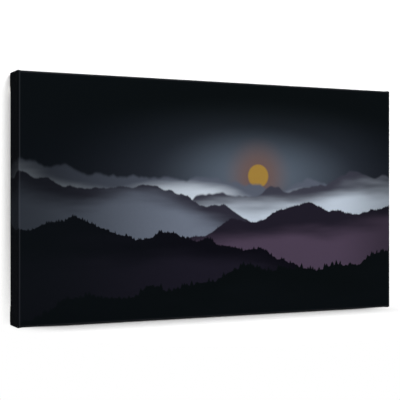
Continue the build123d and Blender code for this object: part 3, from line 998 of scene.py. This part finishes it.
stapleValues = {
    "Crown": staple["crown"] - staple["wireThickness"], "Leg": staple["leg"],
    "Wire Width": staple["wireWidth"], "Wire Thickness": staple["wireThickness"],
    "Bend Radius": staple["bendRadius"], "Turn": 0.0, "Skew": math.radians(staple["skew"]),
    "Seed": 0, "Wire": zinc}
setStaples, stapleKeys = stapleTree(stapleValues)
for number, side in enumerate(("top", "bottom", "left", "right")):
    stapleValues["Turn"] = math.pi / 2 if side in ("left", "right") else 0.0
    stapleValues["Seed"] = number
    mesh = treeOnPlaces(staplePlaces(side), None, setStaples, stapleKeys, stapleValues)
    newPiece(side + "Staples", mesh, zinc, "panel", "staple_steel", "staples_" + side)
print("stage: staples set")


# Floor, wall and light
studio = {
    "paper": "A8A8A6",  # as the object's own light finds it
    "shown": "F0F0F0",  # as the camera sees it, before the shadow
    # each paper's own light, and between what distances it goes over to plain white
    "floor": (0.05, 0.235, 0.32),
    "wall": (0.33, 0.75, 1.7),
    "wallFoot": (0.15, 0.45),  # the wall's shadow thins towards the floor: from what height, and how
    "reach": 30.0,
    "floorGap": 0.0002,
    "wallGap": 0.0004,
    "worldLight": 0.45,
    # place, width, depth, power
    "lamps": {
        "keyLamp": ((0.02, -2.0, 1.15), 0.75, 0.95, 34.6),
        "topLamp": ((0.0, 0.72, 6.0), 0.5, 1.7, 235.0),
        "backLamp": ((0.6, 2.2, 0.8), 1.0, 1.0, 24.0),
    },
}
white = (1, 1, 1, 1)
bpy.context.scene.view_settings.view_transform = "Standard"


def lookedAt(add):
    # the rays, and whether one comes from the camera, off a metal or through glass
    rays = add("LightPath").outputs
    either = add("Math", {0: rays["Is Camera Ray"], 1: rays["Is Glossy Ray"]}, "MAXIMUM")
    return rays, add("Math", {0: either, 1: rays["Is Transmission Ray"]}, "MAXIMUM")


def whitePaper(add, lifted, near, far, foot):
    # Matt white background paper. Seen directly or in metal it is white but for the object's
    # shadow, and whoever looks from behind or below looks through it
    rays, looking = lookedAt(add)
    place = add("TexCoord").outputs["Object"]
    away = add("VectorMath", {0: place}, "LENGTH")
    kept = add("MapRange", {0: away, 1: far, 2: near}, **eased)
    if foot:
        height = add("SeparateXYZ", {0: place}).outputs[2]
        risen = add("MapRange", {0: height, 1: 0.0, 2: foot[0]})
        thinned = add("Math", {0: risen, 1: foot[1]}, "POWER")
        kept = add("Math", {0: kept, 1: thinned}, "MULTIPLY")
    matt = add("BsdfDiffuse", {"Color": studio["paper"]})
    bright = add("BsdfDiffuse", {"Color": studio["shown"]})
    lift = add("Emission", {"Color": white, "Strength": lifted})
    plain = add("Emission", {"Color": white, "Strength": 1.0})
    shadowed = add("AddShader", {0: bright, 1: lift})
    shown = add("MixShader", {0: kept, 1: plain, 2: shadowed})
    front = add("MixShader", {0: looking, 1: matt, 2: shown})
    side = add("NewGeometry").outputs["Backfacing"]
    behind = add("Math", {0: side, 1: rays["Is Camera Ray"]}, "MULTIPLY")
    return add("MixShader", {0: behind, 1: front, 2: add("BsdfTransparent")})


def addPaper(name, corners, foot=None):
    mesh = bpy.data.meshes.new(name)
    mesh.from_pydata(corners, [], [(0, 1, 2, 3)])
    mesh.materials.append(newMaterial(name + "Paper", whitePaper, *studio[name], foot))
    sheet = linked(name, mesh)
    return sheet


def makeWorld():
    # plain grey light from all round; white where the camera, a mirror or glass looks at it
    world = bpy.data.worlds.new("studio")
    bpy.context.scene.world = world
    world.use_nodes = True
    world.node_tree.nodes.clear()
    add = partial(addNode, world.node_tree)
    looking = lookedAt(add)[1]
    lighting = add("Background", {"Color": white, "Strength": studio["worldLight"]})
    shown = add("Background", {"Color": white, "Strength": 1.0})
    mixed = add("MixShader", {0: looking, 1: lighting, 2: shown})
    add("OutputWorld", {0: mixed})


def addLamp(name, place, target, width, depth, power):
    lamp = bpy.data.lights.new(name, "AREA")
    lamp.shape, lamp.size, lamp.size_y, lamp.energy = "ELLIPSE", width, depth, power
    made = linked(name, lamp)
    made.location = place
    made.rotation_euler = (Vector(target) - Vector(place)).to_track_quat("-Z", "Y").to_euler()


far, ground, wallY = studio["reach"], cadLow.z - studio["floorGap"], cadHigh.y + studio["wallGap"]
addPaper("floor", [(-far, -far, ground), (far, -far, ground), (far, far, ground), (-far, far, ground)])
wall = addPaper("wall", [(-far, wallY, ground), (far, wallY, ground), (far, wallY, far), (-far, wallY, far)],
                studio["wallFoot"])
# the wall only takes the shadow, so light still reaches the back of the picture
wall.visible_shadow = wall.visible_diffuse = wall.visible_glossy = wall.visible_transmission = False
makeWorld()
for name, (place, width, depth, power) in studio["lamps"].items():
    addLamp(name, place, (0, 0, centreZ), width, depth, power)
print("stage: studio lit")
